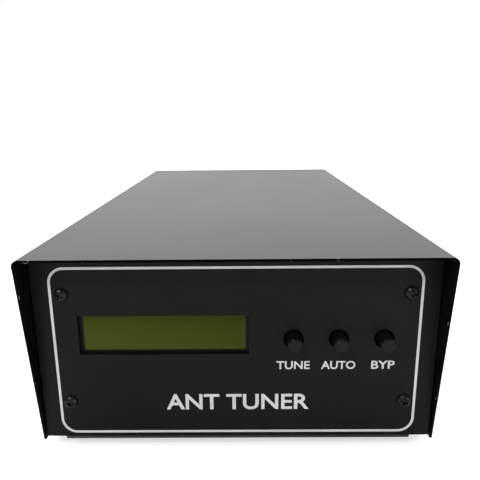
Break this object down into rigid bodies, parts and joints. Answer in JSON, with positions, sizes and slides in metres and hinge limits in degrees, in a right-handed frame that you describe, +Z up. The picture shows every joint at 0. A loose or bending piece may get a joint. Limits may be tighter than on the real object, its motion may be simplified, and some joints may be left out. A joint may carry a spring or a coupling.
{
  "type": "antenna tuner",
  "caption": "Automatic antenna tuner in a folded black steel case, with a character display and push buttons in front, and coaxial sockets, a supply jack and a ground stud behind.",
  "frame": {"origin": "middle of the tuner's footprint, on the surface that its rubber feet stand on; the stud's tip counts in the length", "axes": "+X to the right seen from the front panel, +Y to the rear, +Z up"},
  "size_m": [0.1638, 0.306, 0.085],
  "materials": {
    "cover_paint": "satin",
    "chassis_paint": "satin",
    "panel_paint": "satin",
    "black_screw": "satin",
    "zinc_steel": "satin",
    "zinc_screw": "satin",
    "aluminium_rivet": "satin",
    "foot_rubber": "matte",
    "bezel_black": "satin",
    "display_green": "gloss",
    "backlight_plastic": "matte",
    "board_laminate": "satin",
    "header_plastic": "matte",
    "brass_spacer": "satin",
    "switch_plastic": "matte",
    "button_plastic": "matte",
    "relay_plastic": "satin",
    "iron_powder": "satin",
    "copper_wire": "gloss",
    "capacitor_coat": "gloss",
    "chip_plastic": "satin",
    "sink_aluminium": "satin",
    "can_aluminium": "satin",
    "nickel_plate": "gloss",
    "white_insulator": "matte",
    "silver_contact": "gloss",
    "jack_plastic": "satin",
    "brass_stud": "satin",
    "lead_insulation": "satin",
    "supply_insulation": "satin",
    "ribbon_insulation": "matte"
  },
  "bodies": {
    "case": {"top_cover": "cover_paint", "cover_screws": "black_screw", "chassis": "chassis_paint", "front_panel": "panel_paint", "front_panel_screws": "black_screw", "rear_panel": "panel_paint", "rear_panel_screws": "black_screw", "rubber_feet": "foot_rubber", "foot_screws": "zinc_screw", "display_bezel": "bezel_black", "display_glass": "display_green", "output_socket": "nickel_plate", "input_socket": "nickel_plate", "socket_insulators": "white_insulator", "socket_contacts": "silver_contact", "socket_screws": "zinc_screw", "power_jack": "jack_plastic", "power_jack_nut": "nickel_plate", "ground_stud": "brass_stud", "ground_washers": "zinc_screw", "ground_nuts": "brass_stud", "display_backlight": "backlight_plastic", "display_board": "board_laminate", "display_header": "header_plastic", "display_spacers": "brass_spacer", "display_screws": "zinc_screw", "front_board": "board_laminate", "front_board_standoffs": "brass_spacer", "front_board_screws": "zinc_screw", "button_switches": "switch_plastic", "main_board": "board_laminate", "board_standoffs": "brass_spacer", "board_screws": "zinc_screw", "inductor_relays": "relay_plastic", "inductor_cores": "iron_powder", "inductor_windings": "copper_wire", "air_coils": "copper_wire", "tuning_capacitors": "capacitor_coat", "capacitor_relays": "relay_plastic", "coupler_cores": "iron_powder", "coupler_windings": "copper_wire", "coupler_rods": "copper_wire", "microcontroller": "chip_plastic", "driver_chips": "chip_plastic", "heat_sink": "sink_aluminium", "voltage_regulator": "chip_plastic", "supply_capacitors": "can_aluminium", "board_connectors": "header_plastic", "socket_nuts": "zinc_screw", "output_lead": "lead_insulation", "input_lead": "lead_insulation", "power_leads": "supply_insulation", "display_ribbon": "ribbon_insulation", "bracket_rivets": "aluminium_rivet", "corner_brackets": "zinc_steel"},
    "tune": {"tune_button": "button_plastic"},
    "auto": {"auto_button": "button_plastic"},
    "bypass": {"bypass_button": "button_plastic"},
    "wing_nut": {"ground_wing_nut": "brass_stud"}
  },
  "joints": [
    {"name": "tune_press", "type": "slide", "parent": "case", "child": "tune", "axis": [0, 1, 0], "range_m": [0, 0.002], "stiffness_N_per_m": 600, "springref_m": -0.001},
    {"name": "auto_press", "type": "slide", "parent": "case", "child": "auto", "axis": [0, 1, 0], "range_m": [0, 0.002], "stiffness_N_per_m": 600, "springref_m": -0.001},
    {"name": "bypass_press", "type": "slide", "parent": "case", "child": "bypass", "axis": [0, 1, 0], "range_m": [0, 0.002], "stiffness_N_per_m": 600, "springref_m": -0.001},
    {"name": "wing_nut_turn", "type": "hinge", "parent": "case", "child": "wing_nut", "pos_m": [0.0567, 0.146, 0.025], "axis": [0, 1, 0], "continuous": true}
  ]
}
